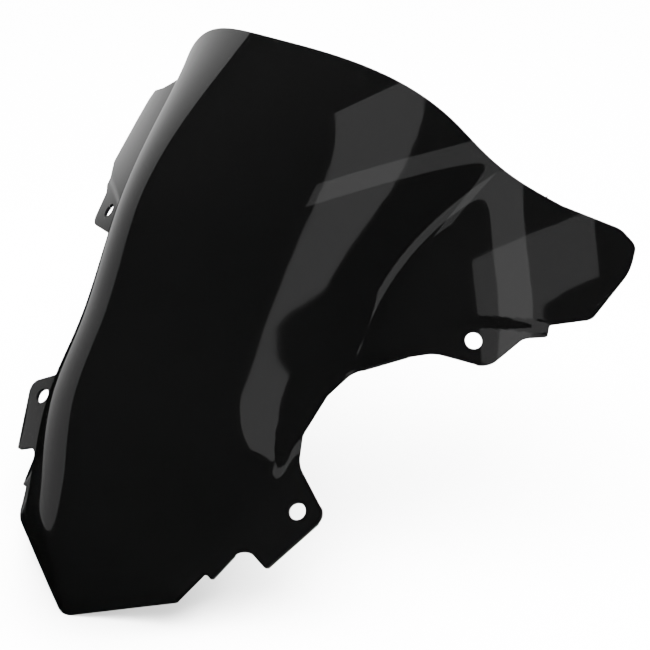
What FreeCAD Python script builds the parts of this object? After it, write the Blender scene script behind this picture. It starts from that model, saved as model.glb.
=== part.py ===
"""Motorcycle double-bubble windshield screen: one thermoformed acrylic moulding.

The skin is drawn over its chord, the straight line from the nose tip to the middle of the
top edge. X runs across the motorcycle, Y runs up the chord and Z stands out from it, so the
whole skin is one height over the XY plane. The finished screen is then raked back and set down:
its origin is under its middle, level with the lowest point of the nose. -Y is forward, +Z is up.
"""
import FreeCAD, Part
import math
import os

# Sheet and trim
SHEET = 2.5           # wall of the formed sheet
STEP = 2.0            # the mounting flange lies this far inside the body's skin
STEP_WIDTH = 6.5      # the skin takes this much width to step down to the flange
HOLE_D = 10.0         # mounting holes, for rubber well nuts
RAKE = 55.0           # the chord's angle above level, in degrees

# Overall sizes
CHORD = 358.5         # nose tip to the middle of the top edge
WING_HALF = 199.0     # centre line to the widest point of a side wing

# Skin: up the chord, height of the crown, slope of the bubble's walls, roundness of the
# crown, half width at the valley, slope of the flared side beyond the valley
STATIONS = (
    (0.0, 44.0, 1.90, 54.0, 51.0, 0.58),
    (45.0, 42.0, 2.10, 62.0, 63.0, 0.60),
    (80.0, 50.5, 2.25, 67.0, 75.0, 0.65),
    (120.0, 58.0, 2.50, 76.0, 86.0, 0.57),
    (165.0, 57.0, 2.90, 80.0, 91.5, 0.50),
    (235.0, 59.0, 3.00, 89.0, 95.0, 1.00),
    (CHORD, 0.0, 2.10, 179.0, 134.0, 1.65),
)
VALLEY_R = 5.0        # softness of the valley between bubble and flare
CHIN_RISE = 0.89      # slope of the folded chin's centre line
CHIN_FALL = 0.70      # slope of each chin facet, away from the centre line
KEEL_R = 4.0          # softness of the chin's centre line
FOLD_R = 3.0          # softness of the fold between chin and bubble

# Lower corner of the nose, and the two mounting holes on each side (across, up the chord)
NOSE_CORNER = (64.5, 34.0)
NOSE_R = 12.0
NOSE_CORNER_R = 4.0
LOW_HOLE = (103.0, 106.5)
HIGH_HOLE = (146.0, 233.0)
WAIST_HALF = 85.0     # half width between the two tabs

# Top edge and wing, measured down from the middle of the top edge
SHOULDER = (102.0, 10.7)   # where the top edge turns down into the valley
VALLEY_TOP = (120.0, 22.0)
WING_TOP = (WING_HALF - 41.0, 32.5)
WING_DROP = 34.5           # upper outer corner of the wing
WING_DEPTH = 55.5          # from that corner down to the lower outer corner

GRID = 2.5            # spacing of the points that the skin is drawn through
MARGIN = 18.0         # how far the untrimmed skin runs past the outline
STEP_POINTS = 150     # how finely the step line is followed
OFFSET_TOL = 0.01     # how closely the inner skin keeps to its distance


def natural_spline(places, values):
    """Return the smooth curve through the values, with no bending at either end."""
    count = len(places)
    gaps = [places[i + 1] - places[i] for i in range(count - 1)]
    bends = [0.0] * count
    ratio = [0.0] * count
    part = [0.0] * count
    for i in range(1, count - 1):
        rise = (values[i + 1] - values[i]) / gaps[i] - (values[i] - values[i - 1]) / gaps[i - 1]
        pivot = 2 * (gaps[i - 1] + gaps[i]) - gaps[i - 1] * ratio[i - 1]
        ratio[i] = gaps[i] / pivot
        part[i] = (6 * rise - gaps[i - 1] * part[i - 1]) / pivot
    for i in range(count - 2, 0, -1):
        bends[i] = part[i] - ratio[i] * bends[i + 1]

    def curve(place):
        i = 0
        while i < count - 2 and place > places[i + 1]:
            i += 1
        a = (places[i + 1] - place) / gaps[i]
        b = 1 - a
        bend = (a ** 3 - a) * bends[i] + (b ** 3 - b) * bends[i + 1]
        return a * values[i] + b * values[i + 1] + bend * gaps[i] ** 2 / 6

    return curve


PLACES = [row[0] for row in STATIONS]
CROWN, WALL, ROUND, VALLEY, FLARE = [
    natural_spline(PLACES, [row[k] for row in STATIONS]) for k in range(1, 6)
]


def soft_ramp(value):
    """Zero below the bend and the value itself above it, joined smoothly."""
    return 0.5 * (value + math.sqrt(value * value + VALLEY_R ** 2))


def smooth_skin(x, up):
    """Height of the skin over the chord plane, before the flanges are stepped in."""
    wall = WALL(up)
    roundness = ROUND(up)
    valley = VALLEY(up)
    bubble = CROWN(up) - wall * (math.hypot(x, roundness) - roundness)
    turn = soft_ramp(abs(x) - valley) - soft_ramp(-valley)
    body = bubble + (wall - FLARE(up)) * turn
    chin = CHIN_RISE * up - CHIN_FALL * (math.hypot(x, KEEL_R) - KEEL_R)
    return 0.5 * (body + chin - math.hypot(body - chin, FOLD_R))


def step_line():
    """Points along the middle of the step, from below the lower tab to the wing."""
    low_x, low_up = LOW_HOLE
    high_x, high_up = HIGH_HOLE
    curve = Part.BSplineCurve()
    curve.interpolate([
        FreeCAD.Vector(x, up, 0)
        for x, up in (
            (low_x, low_up - 58.0),
            (low_x - 26.0, low_up - 51.0),
            (low_x - 21.0, low_up - 30.0),
            (low_x - 14.5, low_up - 4.0),
            (low_x - 19.0, low_up + 20.0),
            (WAIST_HALF - 4.5, low_up + 39.5),
            (WAIST_HALF - 3.5, high_up - 61.0),
            (WAIST_HALF + 2.0, high_up - 40.0),
            (high_x - 32.0, high_up - 20.5),
            (high_x - 22.0, high_up - 3.0),
            (high_x - 9.0, high_up + 7.5),
            (high_x + 30.5, high_up + 22.0),
            (high_x + 60.0, high_up + 33.0),
        )
    ])
    return curve.discretize(STEP_POINTS)


STEP_LINE = step_line()


def outside_step(x, up):
    """How far the place lies on the flange's side of the step line, or minus that inside."""
    place = FreeCAD.Vector(abs(x), up, 0)
    near = min(range(STEP_POINTS), key=lambda i: (STEP_LINE[i] - place).Length)
    before = STEP_LINE[max(near - 1, 0)]
    after = STEP_LINE[min(near + 1, STEP_POINTS - 1)]
    along = (after - before).normalize()
    offset = place - STEP_LINE[near]
    return along.y * offset.x - along.x * offset.y


def skin_height(x, up):
    """Height of the outer skin over the chord plane, flanges included."""
    share = min(max(outside_step(x, up) / STEP_WIDTH + 0.5, 0.0), 1.0)
    return smooth_skin(x, up) - STEP * share * share * (3 - 2 * share)


def skin_normal(x, up, reach=0.5):
    """Unit vector that stands out of the skin."""
    across = skin_height(x + reach, up) - skin_height(x - reach, up)
    along = skin_height(x, up + reach) - skin_height(x, up - reach)
    return FreeCAD.Vector(-across, -along, 2 * reach).normalize()


def skin_point(x, up, drop=0.0):
    """Point on the skin, or the given distance inside it."""
    return FreeCAD.Vector(x, up, skin_height(x, up)) - skin_normal(x, up) * drop


def skin_face():
    """The untrimmed outer skin."""
    columns = math.ceil((WING_HALF + MARGIN) / GRID)
    rows = math.ceil((CHORD + 2 * MARGIN) / GRID)
    grid = [
        [skin_point(i * GRID, j * GRID - MARGIN) for j in range(rows + 1)]
        for i in range(-columns, columns + 1)
    ]
    surface = Part.BSplineSurface()
    surface.interpolate(grid)
    return surface.toShape()


def rounded(corners):
    """Edges through the corners (x, up, radius); each corner but the two ends is an arc."""
    edges = []
    last = FreeCAD.Vector(*corners[0][:2], 0)
    for i in range(1, len(corners) - 1):
        x, up, radius = corners[i]
        corner = FreeCAD.Vector(x, up, 0)
        before = (FreeCAD.Vector(*corners[i - 1][:2], 0) - corner).normalize()
        after = (FreeCAD.Vector(*corners[i + 1][:2], 0) - corner).normalize()
        half = before.getAngle(after) / 2
        bisector = (before + after).normalize()
        start = corner + before * (radius / math.tan(half))
        end = corner + after * (radius / math.tan(half))
        middle = corner + bisector * (radius / math.sin(half) - radius)
        edges.append(Part.makeLine(last, start))
        edges.append(Part.Arc(start, middle, end).toShape())
        last = end
    edges.append(Part.makeLine(last, FreeCAD.Vector(*corners[-1][:2], 0)))
    return edges


def flange_edge():
    """Corners of one mounting flange's trimmed edge, with its two tabs."""
    low_x, low_up = LOW_HOLE
    high_x, high_up = HIGH_HOLE
    return [
        (low_x - 30.0, low_up - 51.5, 1.0),
        (low_x - 26.0, low_up - 53.0, 1.0),
        (low_x - 19.0, low_up - 29.0, 7.0),
        (low_x - 2.0, low_up - 36.5, 1.5),
        (low_x + 16.5, low_up + 4.0, 8.0),
        (low_x - 13.5, low_up + 24.0, 14.0),
        (WAIST_HALF, low_up + 40.5, 14.0),
        (WAIST_HALF + 1.0, high_up - 60.0, 14.0),
        (WAIST_HALF + 6.0, high_up - 42.0, 14.0),
        (high_x - 29.0, high_up - 22.5, 14.0),
        (high_x - 16.0, high_up - 15.0, 14.0),
        (high_x + 13.0, high_up - 12.0, 11.0),
        (high_x + 22.0, high_up + 11.5, 8.0),
        (high_x + 31.5, high_up + 17.0, 1.0),
        (high_x + 30.5, high_up + 23.5, 1.5),
    ]


def half_edge():
    """Corners of one side's edge, from the nose tip to where the top edge starts."""
    wing_up = CHORD - WING_DROP
    corner_x, corner_up = NOSE_CORNER
    lean = math.atan2(corner_up, corner_x)
    nose = [(0.0, NOSE_R - NOSE_R / math.cos(lean), NOSE_R), (corner_x, corner_up, NOSE_CORNER_R)]
    wing = [
        (WING_HALF - 6.0, wing_up - WING_DEPTH, 7.0),
        (WING_HALF, wing_up - 20.0, 40.0),
        (WING_HALF - 2.5, wing_up - 4.0, 8.0),
        (WING_HALF - 12.0, wing_up + 2.0, 9.0),
        (WING_TOP[0], CHORD - WING_TOP[1], 0.0),
    ]
    return nose + flange_edge() + wing


def outline():
    """Plan outline of the whole screen: both sides, then the curved top edge."""
    right = half_edge()
    left = [(-x, up, radius) for x, up, radius in reversed(right[1:])]
    sides = rounded(left + right)
    drops = [WING_TOP, VALLEY_TOP, SHOULDER]
    top = Part.BSplineCurve()
    top.interpolate(
        [FreeCAD.Vector(x, CHORD - drop, 0) for x, drop in drops]
        + [FreeCAD.Vector(0, CHORD, 0)]
        + [FreeCAD.Vector(-x, CHORD - drop, 0) for x, drop in reversed(drops)]
    )
    return Part.Wire(sides + [top.toShape()])


def hole(side, place):
    """Drill for one mounting hole, square to the flange."""
    x, up = place
    outward = skin_normal(side * x, up)
    start = skin_point(side * x, up, 2 * SHEET)
    return Part.makeCylinder(HOLE_D / 2, 3 * SHEET, start, outward)


def set_down(solid):
    """Move the screen so that the origin is under its middle, level with its lowest point."""
    points = solid.tessellate(SHEET / 4)[0]
    depths = [point.y for point in points]
    lowest = min(point.z for point in points)
    solid.translate(FreeCAD.Vector(0, -(min(depths) + max(depths)) / 2, -lowest))


def screen():
    """The finished screen, raked back and set down."""
    deep = FreeCAD.Vector(0, 0, -2 * CHORD)
    tall = FreeCAD.Vector(0, 0, 4 * CHORD)
    prism = Part.Face(outline()).translated(deep).extrude(tall)
    solid = skin_face().common(prism).makeOffsetShape(-SHEET, OFFSET_TOL, fill=True)
    for side in (1, -1):
        for place in (LOW_HOLE, HIGH_HOLE):
            solid = solid.cut(hole(side, place))
    solid.rotate(FreeCAD.Vector(), FreeCAD.Vector(1, 0, 0), RAKE)
    set_down(solid)
    return solid


os.makedirs("parts", exist_ok=True)
screen().exportStep("parts/screen.step")
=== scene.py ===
# %% [markdown]
# # A motorcycle windshield screen
#
# The screen of a sport motorcycle is one sheet of acrylic. It is warmed until it sags like
# cloth, drawn over a mould, then trimmed and drilled. This lesson makes it in the same order:
# cut a flat blank, press it to the mould's shape, give it its thickness, drill it, and break
# its edges. The CAD model says how large everything is and where the finished part sits.

# %% Load the CAD model
import math
import bpy
import numpy as np
from mathutils import Matrix, Vector


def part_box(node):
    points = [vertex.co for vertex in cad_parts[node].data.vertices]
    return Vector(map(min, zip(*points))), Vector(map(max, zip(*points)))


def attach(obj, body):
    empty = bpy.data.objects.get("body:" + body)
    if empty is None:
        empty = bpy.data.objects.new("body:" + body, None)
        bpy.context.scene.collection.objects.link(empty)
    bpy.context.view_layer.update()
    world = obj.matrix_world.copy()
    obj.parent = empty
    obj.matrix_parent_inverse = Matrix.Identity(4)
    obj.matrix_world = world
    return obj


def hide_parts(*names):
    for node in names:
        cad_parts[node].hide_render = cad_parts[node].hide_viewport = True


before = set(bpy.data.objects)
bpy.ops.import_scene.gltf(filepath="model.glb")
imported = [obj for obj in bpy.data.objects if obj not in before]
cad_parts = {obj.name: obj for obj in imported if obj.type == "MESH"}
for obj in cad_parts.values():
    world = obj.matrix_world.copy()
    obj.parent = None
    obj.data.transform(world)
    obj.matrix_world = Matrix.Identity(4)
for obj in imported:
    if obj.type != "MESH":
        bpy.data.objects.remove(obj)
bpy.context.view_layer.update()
screen_low, screen_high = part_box("screen")

# %% [markdown]
# ## Sizes
#
# The sizes are the CAD model's own, in millimetres. The shape is drawn over the chord, the
# straight line from the nose tip to the middle of the top edge: x runs across, "up" runs
# along the chord, and the height stands out from it.

# %% Sizes in millimetres
MM = 0.001
SHEET = 2.5
STEP = 2.0
STEP_WIDTH = 6.5
HOLE_R = 5.0
RAKE = math.radians(55.0)
CHORD = 358.5
WING_HALF = 199.0
LOW_HOLE = (103.0, 106.5)
HIGH_HOLE = (146.0, 233.0)
WAIST_HALF = 85.0
WING_TOP = (WING_HALF - 41.0, 32.5)
WING_DROP = 34.5
WING_DEPTH = 55.5

# %% [markdown]
# ## The mould's shape
#
# A double-bubble screen is hard to model by pushing points about, because every ripple shows
# in its gloss. So its shape is a formula: a rounded bubble whose walls fall into a valley, a
# flared side beyond it, and a folded chin. Seven stations up the chord say how high, steep,
# round and wide it is there, and a smooth curve joins them.

# %% Stations up the chord
STATIONS = np.array([
    # up, crown, wall slope, roundness, valley half width, flare slope
    (0.0, 44.0, 1.90, 54.0, 51.0, 0.58),
    (45.0, 42.0, 2.10, 62.0, 63.0, 0.60),
    (80.0, 50.5, 2.25, 67.0, 75.0, 0.65),
    (120.0, 58.0, 2.50, 76.0, 86.0, 0.57),
    (165.0, 57.0, 2.90, 80.0, 91.5, 0.50),
    (235.0, 59.0, 3.00, 89.0, 95.0, 1.00),
    (CHORD, 0.0, 2.10, 179.0, 134.0, 1.65),
])
VALLEY_R = 5.0
CHIN_RISE = 0.89
CHIN_FALL = 0.70
KEEL_R = 4.0
FOLD_R = 3.0


def natural_spline(places, values):
    """The smooth curve through the values, with no bending at either end."""
    gaps = np.diff(places)
    count = len(places)
    system = np.eye(count)
    rises = np.zeros((count,) + np.shape(values)[1:])
    slopes = (np.diff(values, axis=0).T / gaps).T
    for i in range(1, count - 1):
        system[i, i - 1:i + 2] = gaps[i - 1], 2 * (gaps[i - 1] + gaps[i]), gaps[i]
        rises[i] = 6 * (slopes[i] - slopes[i - 1])
    bends = np.linalg.solve(system, rises)

    def curve(place):
        place = np.atleast_1d(place)
        i = np.clip(np.searchsorted(places, place) - 1, 0, count - 2)
        a = ((places[i + 1] - place) / gaps[i])[:, None]
        b = 1 - a
        bend = (a ** 3 - a) * bends[i] + (b ** 3 - b) * bends[i + 1]
        return a * values[i] + b * values[i + 1] + bend * (gaps[i] ** 2)[:, None] / 6

    return curve


section = natural_spline(STATIONS[:, 0], STATIONS[:, 1:])


def smooth_skin(x, up):
    """Height of the skin over the chord, before the flanges are stepped in."""
    crown, wall, roundness, valley, flare = section(up).T
    bubble = crown - wall * (np.hypot(x, roundness) - roundness)
    past = np.abs(x) - valley
    turn = 0.5 * (past + np.hypot(past, VALLEY_R)) - 0.5 * (np.hypot(valley, VALLEY_R) - valley)
    body = bubble + (wall - flare) * turn
    chin = CHIN_RISE * up - CHIN_FALL * (np.hypot(x, KEEL_R) - KEEL_R)
    return 0.5 * (body + chin - np.hypot(body - chin, FOLD_R))


# %% [markdown]
# ## The stepped flange
#
# The fairing laps over the screen's lower sides, so the mould steps them in by a sheet's
# thickness or so. The step follows a curve, and the skin eases down across it.

# %% The step line and the finished skin
(low_x, low_up), (high_x, high_up) = LOW_HOLE, HIGH_HOLE
STEP_CORNERS = np.array([
    (low_x, low_up - 58.0),
    (low_x - 26.0, low_up - 51.0),
    (low_x - 21.0, low_up - 30.0),
    (low_x - 14.5, low_up - 4.0),
    (low_x - 19.0, low_up + 20.0),
    (WAIST_HALF - 4.5, low_up + 39.5),
    (WAIST_HALF - 3.5, high_up - 61.0),
    (WAIST_HALF + 2.0, high_up - 40.0),
    (high_x - 32.0, high_up - 20.5),
    (high_x - 22.0, high_up - 3.0),
    (high_x - 9.0, high_up + 7.5),
    (high_x + 30.5, high_up + 22.0),
    (high_x + 60.0, high_up + 33.0),
])


def curve_through(points, spacing):
    """Evenly spaced points along the smooth curve through the given ones."""
    lengths = np.linalg.norm(np.diff(points, axis=0), axis=1)
    along = np.concatenate([[0.0], np.cumsum(lengths)])
    places = np.linspace(0.0, along[-1], int(along[-1] / spacing) + 1)
    return natural_spline(along, points)(places)


step_line = curve_through(STEP_CORNERS, 0.5)
step_way = np.gradient(step_line, axis=0)
step_way /= np.linalg.norm(step_way, axis=1)[:, None]

# The nearest step point is looked for among every tenth one, then among those near the best
LOOK = 10


def nearest(place, choices):
    """Which of its chosen step points lies nearest to each place."""
    gaps = ((place[:, None] - step_line[choices]) ** 2).sum(axis=2)
    return np.take_along_axis(np.broadcast_to(choices, gaps.shape),
                              gaps.argmin(axis=1)[:, None], axis=1)[:, 0]


def skin_height(x, up):
    """Height of the outer skin over the chord, flanges included."""
    place = np.stack([np.abs(x), up], axis=-1)
    rough = nearest(place, np.arange(0, len(step_line), LOOK)[None])
    near = nearest(place, np.clip(rough[:, None] + np.arange(-LOOK, LOOK + 1),
                                  0, len(step_line) - 1))
    offset = place - step_line[near]
    outside = step_way[near, 1] * offset[:, 0] - step_way[near, 0] * offset[:, 1]
    share = np.clip(outside / STEP_WIDTH + 0.5, 0.0, 1.0)
    return smooth_skin(x, up) - STEP * share ** 2 * (3 - 2 * share)


def skin_normal(x, up, reach=0.4):
    """Unit vectors that stand out of the skin."""
    across = skin_height(x + reach, up) - skin_height(x - reach, up)
    along = skin_height(x, up + reach) - skin_height(x, up - reach)
    normal = np.stack([-across, -along, np.full(len(x), 2 * reach)], axis=-1)
    return normal / np.linalg.norm(normal, axis=1)[:, None]


print("crown height half way up", skin_height(np.zeros(1), np.full(1, CHORD / 2)).round(1))

# %% [markdown]
# ## The blank
#
# The blank is drawn in plan. A list of corners with a radius each gives the straight cuts and
# round corners of the nose, tabs and wings, and one smooth curve gives the top edge.

# %% Corners of one side: across, up the chord, radius
WING_UP = CHORD - WING_DROP
NOSE_R = 12.0
NOSE_CORNER_R = 4.0
NOSE_CORNER = (64.5, 34.0)
nose_lean = math.atan2(NOSE_CORNER[1], NOSE_CORNER[0])
SIDE_CORNERS = [
    (0.0, NOSE_R - NOSE_R / math.cos(nose_lean), NOSE_R),
    (NOSE_CORNER[0], NOSE_CORNER[1], NOSE_CORNER_R),
    (low_x - 30.0, low_up - 51.5, 1.0),
    (low_x - 26.0, low_up - 53.0, 1.0),
    (low_x - 19.0, low_up - 29.0, 7.0),
    (low_x - 2.0, low_up - 36.5, 1.5),
    (low_x + 16.5, low_up + 4.0, 8.0),
    (low_x - 13.5, low_up + 24.0, 14.0),
    (WAIST_HALF, low_up + 40.5, 14.0),
    (WAIST_HALF + 1.0, high_up - 60.0, 14.0),
    (WAIST_HALF + 6.0, high_up - 42.0, 14.0),
    (high_x - 29.0, high_up - 22.5, 14.0),
    (high_x - 16.0, high_up - 15.0, 14.0),
    (high_x + 13.0, high_up - 12.0, 11.0),
    (high_x + 22.0, high_up + 11.5, 8.0),
    (high_x + 31.5, high_up + 17.0, 1.0),
    (high_x + 30.5, high_up + 23.5, 1.5),
    (WING_HALF - 6.0, WING_UP - WING_DEPTH, 7.0),
    (WING_HALF, WING_UP - 20.0, 40.0),
    (WING_HALF - 2.5, WING_UP - 4.0, 8.0),
    (WING_HALF - 12.0, WING_UP + 2.0, 9.0),
    (WING_TOP[0], CHORD - WING_TOP[1], 0.0),
]
TOP_EDGE = [WING_TOP, (120.0, 22.0), (102.0, 10.7), (0.0, 0.0)]


def rounded(corners, spacing=1.2):
    """Points along an outline through the corners; each corner but the two ends is an arc."""
    points = [np.array(corners[0][:2])]
    for before, (x, up, radius), after in zip(corners, corners[1:], corners[2:]):
        corner = np.array((x, up))
        back = np.array(before[:2]) - corner
        back /= np.linalg.norm(back)
        on = np.array(after[:2]) - corner
        on /= np.linalg.norm(on)
        half = math.acos(np.clip(back @ on, -1, 1)) / 2
        middle = corner + (back + on) / np.linalg.norm(back + on) * (radius / math.sin(half))
        start = corner + back * (radius / math.tan(half)) - middle
        end = corner + on * (radius / math.tan(half)) - middle
        turn = math.atan2(start[0] * end[1] - start[1] * end[0], start @ end)
        for angle in np.linspace(0, turn, max(3, int(abs(turn) * radius / spacing) + 2)):
            c, s = math.cos(angle), math.sin(angle)
            points.append(middle + (c * start[0] - s * start[1], s * start[0] + c * start[1]))
    points.append(np.array(corners[-1][:2]))
    return np.array(points)


left_corners = [(-x, up, radius) for x, up, radius in reversed(SIDE_CORNERS[1:])]
sides = rounded(left_corners + SIDE_CORNERS)
top_points = [(x, CHORD - drop) for x, drop in TOP_EDGE]
top_points += [(-x, up) for x, up in reversed(top_points[:-1])]
top_edge = curve_through(np.array(top_points), 1.5)
outline = np.concatenate([sides, top_edge[1:-1]])
SHORTEST = 0.3
keep = np.linalg.norm(outline - np.roll(outline, 1, axis=0), axis=1) > SHORTEST
outline = outline[keep]
print("blank outline has", len(outline), "points")


# %% [markdown]
# A disc's rim is moved onto the outline to make the flat blank. Inset leaves a narrow strip
# all round it, which is hidden while the middle is sliced into small squares by one cut after
# another, both ways. The squares let the sheet bend anywhere, and the strip keeps their
# slivers away from the edge that is rounded later.

# %% Cut the flat blank
def edit_all(piece):
    """Make one piece active, enter edit mode and select all of it."""
    bpy.ops.object.select_all(action="DESELECT")
    piece.select_set(True)
    bpy.context.view_layer.objects.active = piece
    bpy.ops.object.mode_set(mode="EDIT")
    bpy.ops.mesh.select_all(action="SELECT")


bpy.ops.object.select_all(action="DESELECT")
bpy.ops.mesh.primitive_circle_add(vertices=len(outline), fill_type="NGON")
blank = bpy.context.object
blank.name = "screen_moulding"
flat = np.zeros((len(outline), 3))
flat[:, :2] = outline
blank.data.vertices.foreach_set("co", flat.ravel())
blank.data.update()

SQUARE = 1.7
RIM = 0.8
SLIVER = 0.5
edit_all(blank)
bpy.ops.mesh.inset(thickness=RIM, use_even_offset=True)
bpy.ops.mesh.hide(unselected=True)
for axis, reach in ((0, WING_HALF), (1, CHORD)):
    first = -reach if axis == 0 else 0.0
    for i in range(1, int((reach - first) / SQUARE) + 1):
        place = [0.0, 0.0, 0.0]
        place[axis] = first + i * SQUARE
        way = [1.0 - axis, float(axis), 0.0]
        bpy.ops.mesh.select_all(action="SELECT")
        bpy.ops.mesh.bisect(plane_co=place, plane_no=way)
bpy.ops.mesh.select_all(action="SELECT")
bpy.ops.mesh.remove_doubles(threshold=SLIVER)
bpy.ops.mesh.reveal()
bpy.ops.mesh.select_all(action="SELECT")
bpy.ops.mesh.normals_make_consistent(inside=False)
bpy.ops.object.mode_set(mode="OBJECT")
print("blank:", len(blank.data.vertices), "points,", len(blank.data.polygons), "faces")

# %% [markdown]
# ## Pressing
#
# Every point of the blank is lifted to the mould's height, as warm sheet is drawn onto it. The
# sheet gets its wall on the inside with Solidify, which keeps each cut edge square to the skin.

# %% Press the blank and give it its wall
flat = np.empty(len(blank.data.vertices) * 3)
blank.data.vertices.foreach_get("co", flat)
flat = flat.reshape(-1, 3)
flat[:, 2] = skin_height(flat[:, 0], flat[:, 1])
blank.data.vertices.foreach_set("co", flat.ravel())
blank.data.update()


def apply_modifier(piece, kind, **settings):
    """Add one modifier with its settings and apply it."""
    bpy.ops.object.select_all(action="DESELECT")
    piece.select_set(True)
    bpy.context.view_layer.objects.active = piece
    modifier = piece.modifiers.new(kind.title(), kind)
    for name, value in settings.items():
        setattr(modifier, name, value)
    bpy.ops.object.modifier_apply(modifier=modifier.name)


apply_modifier(blank, "SOLIDIFY", thickness=SHEET, offset=-1.0)
print("pressed:", len(blank.data.polygons), "faces")

# %% [markdown]
# ## Drilling
#
# Each tab has one hole, drilled square to its skin. A cylinder stands for the drill, and
# Boolean takes it away.

# %% Drill the four holes
def hole_place(side, place):
    """Point on the outer skin at a hole's middle, and the way out of the skin there."""
    x, up = np.array([side * place[0]]), np.array([place[1]])
    point = Vector((x[0], up[0], skin_height(x, up)[0]))
    return point, Vector(skin_normal(x, up)[0])


for side in (1, -1):
    for place in (LOW_HOLE, HIGH_HOLE):
        point, outward = hole_place(side, place)
        bpy.ops.object.select_all(action="DESELECT")
        bpy.ops.mesh.primitive_cylinder_add(
            vertices=64, radius=HOLE_R, depth=6 * SHEET, location=point,
            rotation=outward.to_track_quat("Z", "Y").to_euler())
        drill = bpy.context.object
        apply_modifier(blank, "BOOLEAN", object=drill, operation="DIFFERENCE", solver="EXACT")
        bpy.data.objects.remove(drill)
print("drilled:", len(blank.data.polygons), "faces")

# %% [markdown]
# ## Broken edges
#
# A trimmed edge of acrylic is scraped so that it doesn't cut the hand. A small rounding along
# every sharp edge does that, and it is what catches the light along the rim.

# %% Round the rims
EDGE_ROUND = 0.45
apply_modifier(blank, "BEVEL", width=EDGE_ROUND, segments=3, limit_method="ANGLE",
               angle_limit=math.radians(50), use_clamp_overlap=True)
print("rims rounded:", len(blank.data.polygons), "faces")

# %% [markdown]
# ## Setting it down
#
# The screen is tipped back to its rake and moved until its box matches the CAD part's box.
# The points themselves are moved, so the object stays at the origin, unturned.

# %% Rake and place the screen
points = np.empty(len(blank.data.vertices) * 3)
blank.data.vertices.foreach_get("co", points)
points = points.reshape(-1, 3)
plan = points.copy()
turn = np.array([
    [1.0, 0.0, 0.0],
    [0.0, math.cos(RAKE), -math.sin(RAKE)],
    [0.0, math.sin(RAKE), math.cos(RAKE)],
])
placed = points @ turn.T * MM
cad_middle_y = (screen_low[1] + screen_high[1]) / 2
placed[:, 1] += cad_middle_y - (placed[:, 1].min() + placed[:, 1].max()) / 2
placed[:, 2] += screen_low[2] - placed[:, 2].min()
blank.data.vertices.foreach_set("co", placed.ravel())
blank.data.update()
bpy.ops.object.shade_smooth()
print("screen box", placed.min(axis=0).round(4), placed.max(axis=0).round(4))

# %% [markdown]
# ## True gloss
#
# Smooth shading guesses the way each point faces from the little faces round it. On a gloss
# sheet that guess shows as ripples near the cut edges, so the skins are given the mould's own
# directions instead. The rims keep their guessed ones.

# %% Give the skins the mould's own directions
def skin_foot(points, drop):
    """Plan places of the skin points that lie the given distance outside these."""
    foot = points[:, :2].copy()
    for _ in range(3):
        normal = skin_normal(foot[:, 0], foot[:, 1])
        foot = points[:, :2] + drop * normal[:, :2]
    return foot


SKIN_GAP = 0.25
SKIN_AGREES = 0.8
mesh = blank.data
directions = np.empty(len(mesh.vertices) * 3)
mesh.vertices.foreach_get("normal", directions)
directions = directions.reshape(-1, 3)
cut = np.ones(len(points))
for drop, way in ((0.0, 1.0), (SHEET, -1.0)):
    foot = skin_foot(plan, drop)
    normal = skin_normal(foot[:, 0], foot[:, 1])
    gap = skin_height(foot[:, 0], foot[:, 1]) - drop * normal[:, 2] - plan[:, 2]
    guess = (directions @ turn * way * normal).sum(axis=1)
    on_skin = (np.abs(gap) < SKIN_GAP) & (guess > SKIN_AGREES)
    directions[on_skin] = way * normal[on_skin] @ turn.T
    cut[on_skin] = 0.0
mesh.normals_split_custom_set_from_vertices(directions)
edge_mask = mesh.attributes.new("cut_edge", "FLOAT", "POINT")
edge_mask.data.foreach_set("value", cut)
print("skin points", int((cut == 0).sum()), "rim points", int(cut.sum()))

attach(blank, "root")
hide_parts("screen")

# %% [markdown]
# ## Gloss black acrylic
#
# The sheet is cast acrylic dyed so dark that it reads as black. It has no grain at all: what
# the eye gets is a thin, clean reflection over near black. Forming leaves the gloss very
# slightly uneven, handling leaves hairlines, and the sawn edges are paler and duller.

# %% One helper for nodes and one for colours
def linear(hex_colour):
    """An sRGB hex colour as the linear colour that shaders take."""
    values = [int(hex_colour[i:i + 2], 16) / 255 for i in (1, 3, 5)]
    return [v / 12.92 if v <= 0.04045 else ((v + 0.055) / 1.055) ** 2.4 for v in values] + [1.0]


def add_node(tree, kind, settings=(), inputs=(), links=()):
    """Add a node, set its properties and sockets, and link (socket, from node, output)."""
    node = tree.nodes.new(kind)
    for name, value in dict(settings).items():
        setattr(node, name, value)
    for name, value in dict(inputs).items():
        node.inputs[name].default_value = value
    for name, source, output in links:
        tree.links.new(source.outputs[output], node.inputs[name])
    return node


# %% The acrylic
acrylic = bpy.data.materials.new("thermoformed_gloss_black_acrylic")
acrylic.use_nodes = True
tree = acrylic.node_tree
shader = tree.nodes["Principled BSDF"]
shader.inputs["IOR"].default_value = 1.49
place = add_node(tree, "ShaderNodeTexCoord")

# Hairlines: long thin marks, about 0.3 mm wide, mostly up and down the sheet
stretch = add_node(tree, "ShaderNodeMapping", inputs={"Scale": (3000.0, 60.0, 60.0)},
                   links=[("Vector", place, "Object")])
hairlines = add_node(tree, "ShaderNodeTexNoise", inputs={"Scale": 1.0, "Detail": 2.0},
                     links=[("Vector", stretch, "Vector")])
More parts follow.
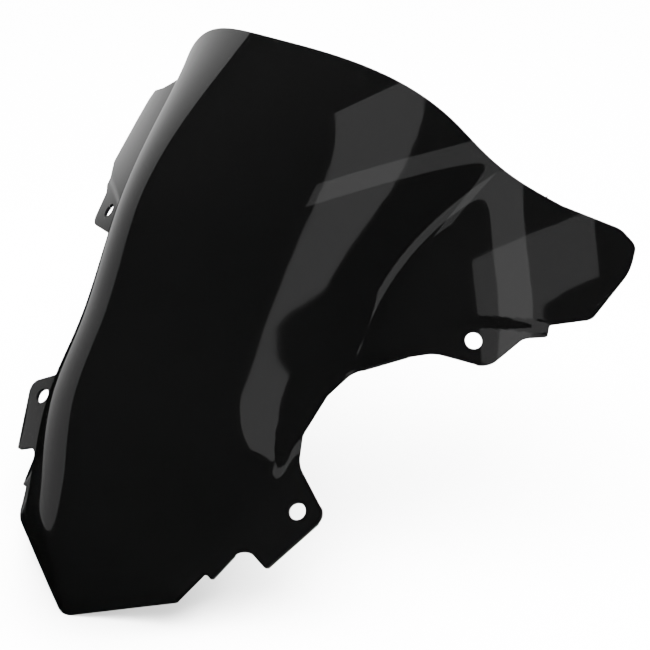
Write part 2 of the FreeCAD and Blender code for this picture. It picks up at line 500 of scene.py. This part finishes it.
# Handling haze: soft patches about 60 mm across
haze = add_node(tree, "ShaderNodeTexNoise", inputs={"Scale": 16.0, "Detail": 3.0},
                links=[("Vector", place, "Object")])
cut_edge = add_node(tree, "ShaderNodeAttribute", {"attribute_name": "cut_edge"})
fine = add_node(tree, "ShaderNodeMapRange", inputs={"From Min": 0.62, "From Max": 0.80,
                                                    "To Min": 0.0, "To Max": 0.06},
                links=[("Value", hairlines, "Fac")])
soft = add_node(tree, "ShaderNodeMapRange", inputs={"From Min": 0.35, "From Max": 0.75,
                                                    "To Min": 0.03, "To Max": 0.07},
                links=[("Value", haze, "Fac")])
gloss = add_node(tree, "ShaderNodeMath", {"operation": "ADD"},
                 links=[(0, fine, "Result"), (1, soft, "Result")])
sawn = add_node(tree, "ShaderNodeMath", {"operation": "MULTIPLY_ADD"}, {1: 0.30},
                [(0, cut_edge, "Fac"), (2, gloss, "Value")])
tree.links.new(sawn.outputs["Value"], shader.inputs["Roughness"])
colour = add_node(tree, "ShaderNodeMix", {"data_type": "RGBA"},
                  links=[("Factor", cut_edge, "Fac")])
colour.inputs["A"].default_value = linear("#020202")
colour.inputs["B"].default_value = linear("#050506")
tree.links.new(colour.outputs["Result"], shader.inputs["Base Color"])
# Forming waviness: hills a few hundredths of a millimetre high and about 25 mm across
wave = add_node(tree, "ShaderNodeTexNoise", inputs={"Scale": 40.0, "Detail": 1.0},
                links=[("Vector", place, "Object")])
bump = add_node(tree, "ShaderNodeBump", inputs={"Strength": 0.5, "Distance": 0.00012},
                links=[("Height", wave, "Fac")])
tree.links.new(bump.outputs["Normal"], shader.inputs["Normal"])
blank.data.materials.clear()
blank.data.materials.append(acrylic)
print("material", acrylic.name, "has", len(tree.nodes), "nodes")

# %% [markdown]
# ## The camera
#
# The screen is seen from the front, off to one side and from above, with a longish lens that
# keeps the wings in proportion.

# %% Camera
camera_data = bpy.data.cameras.new("camera")
camera = bpy.data.objects.new("camera", camera_data)
bpy.context.scene.collection.objects.link(camera)
camera_data.lens = 88.6
camera_data.sensor_width = 36.0
camera.location = Vector((562.2, -638.9, 608.6)) * MM
AIM = Vector((90.6, -14.2, 164.4)) * MM
camera.rotation_euler = (AIM - camera.location).to_track_quat("-Z", "Y").to_euler()
bpy.context.scene.camera = camera

# %% [markdown]
# ## The backdrop
#
# The floor and the round wall are plain matt white paper. Gloss black would turn grey if it
# mirrored them, so they are hidden from its reflections.

# %% Floor and wall
ROOM_RADIUS = 5.5
ROOM_HEIGHT = 8.0
FLOOR_SIDE = 12.0
bpy.ops.object.select_all(action="DESELECT")
bpy.ops.mesh.primitive_plane_add(size=FLOOR_SIDE, location=(0.0, 0.0, screen_low[2]))
floor = bpy.context.object
floor.name = "floor"
paper = bpy.data.materials.new("matt_white_paper_sweep")
paper.use_nodes = True
paper_shader = paper.node_tree.nodes["Principled BSDF"]
paper_shader.inputs["Base Color"].default_value = linear("#f4f4f4")
paper_shader.inputs["Roughness"].default_value = 0.9
floor.data.materials.append(paper)
bpy.ops.object.select_all(action="DESELECT")
bpy.ops.mesh.primitive_cylinder_add(
    vertices=96, radius=ROOM_RADIUS, depth=ROOM_HEIGHT, end_fill_type="NOTHING",
    location=(0.0, 0.0, ROOM_HEIGHT / 2 - 0.1))
wall = bpy.context.object
wall.name = "studio_wall"
wall.data.materials.append(paper)
for backdrop in (floor, wall):
    backdrop.visible_glossy = False

# %% [markdown]
# ## The lights
#
# Gloss black shows only what it reflects. One broad overhead light whitens the backdrop and is
# hidden from reflections. The other three are there to be reflected: a strip close by the right
# side draws the long window down the bubble, a small card lights the wing, and a long band on
# the left edges the far side of the bubble. They are faint, so that their reflections in the
# acrylic stay a dark grey.

# %% Lights
MIDDLE = Vector((0.0, 0.0, 150.0))


def around(azimuth, elevation, distance):
    """A place in mm that far from the screen's middle; azimuth 0 is ahead of the nose."""
    a, e = math.radians(azimuth), math.radians(elevation)
    out = Vector((math.sin(a) * math.cos(e), -math.cos(a) * math.cos(e), math.sin(e)))
    return MIDDLE + out * distance


def softbox(name, place, aim, size, roll, brightness):
    """A rectangular soft light of the given brightness; places and sizes in mm."""
    data = bpy.data.lights.new(name, "AREA")
    data.shape = "RECTANGLE"
    data.size, data.size_y = [side * MM for side in size]
    data.energy = brightness * math.pi * data.size * data.size_y
    light = bpy.data.objects.new(name, data)
    bpy.context.scene.collection.objects.link(light)
    light.location = place * MM
    facing = (place - aim).to_track_quat("Z", "Y").to_matrix().to_4x4()
    light.rotation_euler = (facing @ Matrix.Rotation(math.radians(roll), 4, "Z")).to_euler()
    light.visible_camera = False
    return light


overhead = softbox("overhead", around(0, 89, 2800), MIDDLE, (4000, 4000), 0, 45.0)
overhead.visible_glossy = False
softbox("right_strip", around(92, 27, 350), MIDDLE, (55, 430), -13, 0.9)
card_place = Vector((277.0, 51.0, 273.0))
WING_MIDDLE = Vector((155.0, 96.0, 180.0))
softbox("wing_card", card_place, WING_MIDDLE, (150, 40), -7.5, 0.7)
softbox("left_band", around(-95, 10, 424), MIDDLE, (4000, 470), -12, 0.7)

# %% A dim room beyond the lights
world = bpy.data.worlds.new("dim_studio")
world.use_nodes = True
world.node_tree.nodes["Background"].inputs["Color"].default_value = linear("#20221f")
world.node_tree.nodes["Background"].inputs["Strength"].default_value = 0.3
bpy.context.scene.world = world
